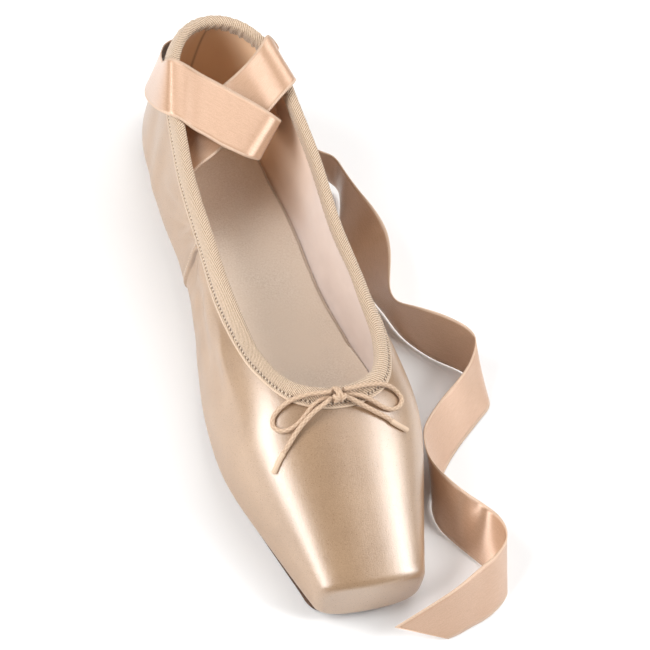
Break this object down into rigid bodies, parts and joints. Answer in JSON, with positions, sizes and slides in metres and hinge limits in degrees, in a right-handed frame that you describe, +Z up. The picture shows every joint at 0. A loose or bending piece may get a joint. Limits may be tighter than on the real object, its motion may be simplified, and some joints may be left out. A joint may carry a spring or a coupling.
{
  "type": "pointe shoe",
  "caption": "Ballet shoe with a stiff flat-ended toe box, hollow satin upper, leather sole, bound collar with a drawstring bow, and ankle ribbons laid over the heel.",
  "frame": {"origin": "on the floor under the ball of the foot, midway across, on the outsole's flat forefoot", "axes": "+Z up, the shoe standing on its sole; +Y towards the heel and -Y towards the toe; X across, with the long ribbon end on the +X side"},
  "size_m": [0.1211, 0.2648, 0.0642],
  "materials": {
    "satin": "glossy pale champagne satin",
    "sole_leather": "dark brown split leather, worn matte",
    "insole_cloth": "matte beige napped cloth",
    "binding_tape": "matte ribbed tape",
    "ribbon_satin": "glossy satin ribbon",
    "drawstring": "braided cord"
  },
  "bodies": {
    "root": {"upper": "satin", "outsole": "sole_leather", "insole": "insole_cloth", "binding": "binding_tape", "outer_ribbon": "ribbon_satin", "inner_ribbon": "ribbon_satin", "bow_knot": "drawstring", "bow_loop_left": "drawstring", "bow_loop_right": "drawstring", "bow_end_left": "drawstring", "bow_end_right": "drawstring"}
  },
  "joints": []
}
